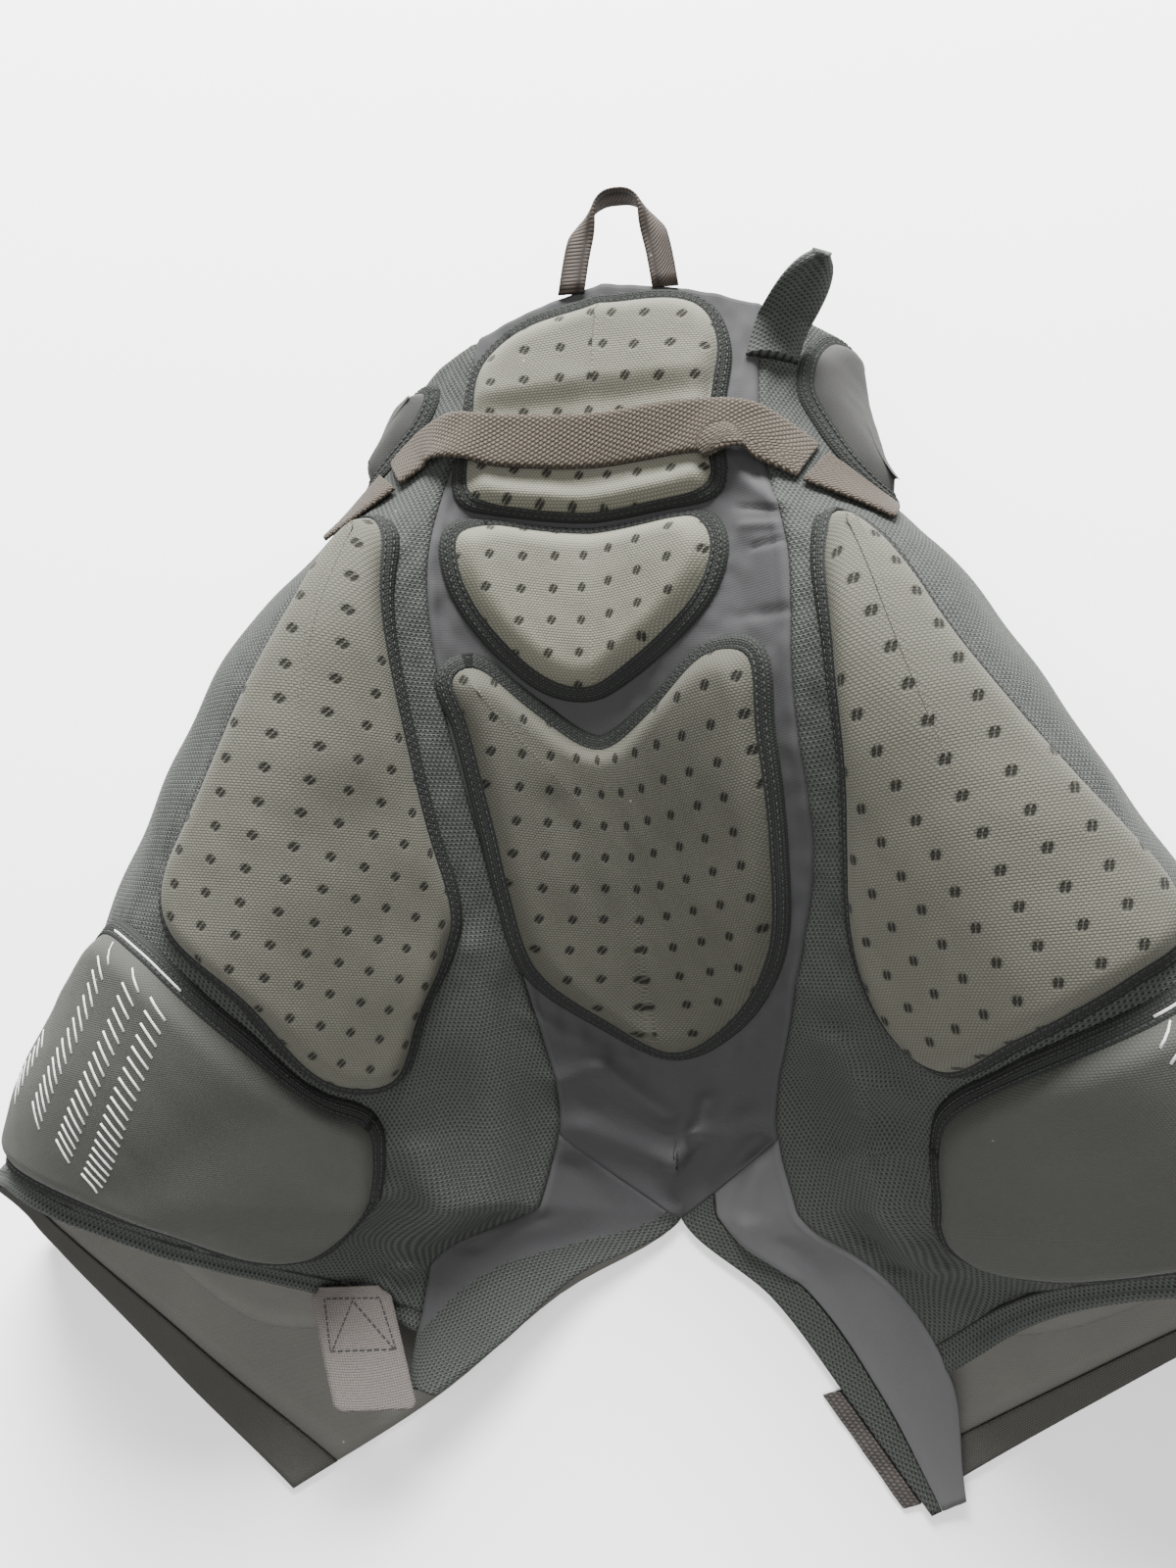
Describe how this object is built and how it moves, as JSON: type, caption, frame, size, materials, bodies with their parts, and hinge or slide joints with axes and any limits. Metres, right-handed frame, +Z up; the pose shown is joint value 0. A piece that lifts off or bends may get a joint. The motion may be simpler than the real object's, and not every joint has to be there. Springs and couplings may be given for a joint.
{
  "type": "padded hip girdle",
  "caption": "Padded hip girdle lying on its front: stretch back panel, mesh sides, tail, hip and thigh pads, a belt across the back, open waist and two short leg openings.",
  "frame": {"origin": "on the floor under the middle of the lying garment's box", "axes": "+Z up from the floor to the back side of the garment, +Y towards the waist, +X towards the wearer's right leg, which lies on the right in the picture"},
  "size_m": [0.6556, 0.6036, 0.1776],
  "materials": {
    "stretch_cloth": "smooth dark grey stretch knit with folds",
    "mesh_cloth": "dark green grey open ribbed mesh",
    "perforated_fabric": "grey basket weave with small double slits in rows",
    "smooth_fabric": "dark grey fine woven pad cover with white dash rows on one pad",
    "lining": "dark brushed lining",
    "webbing": "brown grey twill webbing",
    "loop_tape": "dark ribbed tape",
    "hook_tape": "matte hook tape with a sewn box",
    "zip_tape": "brown grey coil zip tape"
  },
  "bodies": {
    "root": {"back_centre_panel": "stretch_cloth", "side_panel_left": "mesh_cloth", "side_panel_right": "mesh_cloth", "hem_back_left": "mesh_cloth", "hem_back_right": "mesh_cloth", "gusset_left": "stretch_cloth", "gusset_right": "stretch_cloth", "front_panel_left": "mesh_cloth", "front_panel_right": "mesh_cloth", "hem_front_left": "mesh_cloth", "hem_front_right": "mesh_cloth", "inseam_band_right": "mesh_cloth", "tail_pad_upper": "perforated_fabric", "tail_pad_middle": "perforated_fabric", "tail_pad_lower": "perforated_fabric", "hip_pad_left": "perforated_fabric", "hip_pad_right": "perforated_fabric", "thigh_pad_left": "smooth_fabric", "thigh_pad_right": "smooth_fabric", "side_pad_left": "smooth_fabric", "side_pad_right": "smooth_fabric", "front_thigh_pad_left": "lining", "front_thigh_pad_right": "lining", "belt_side_left": "webbing", "belt_side_right": "webbing", "belt_back": "webbing", "hang_loop": "loop_tape", "hook_tab_left": "hook_tape", "side_flap_right": "mesh_cloth", "leg_zip_right": "zip_tape"}
  },
  "joints": []
}
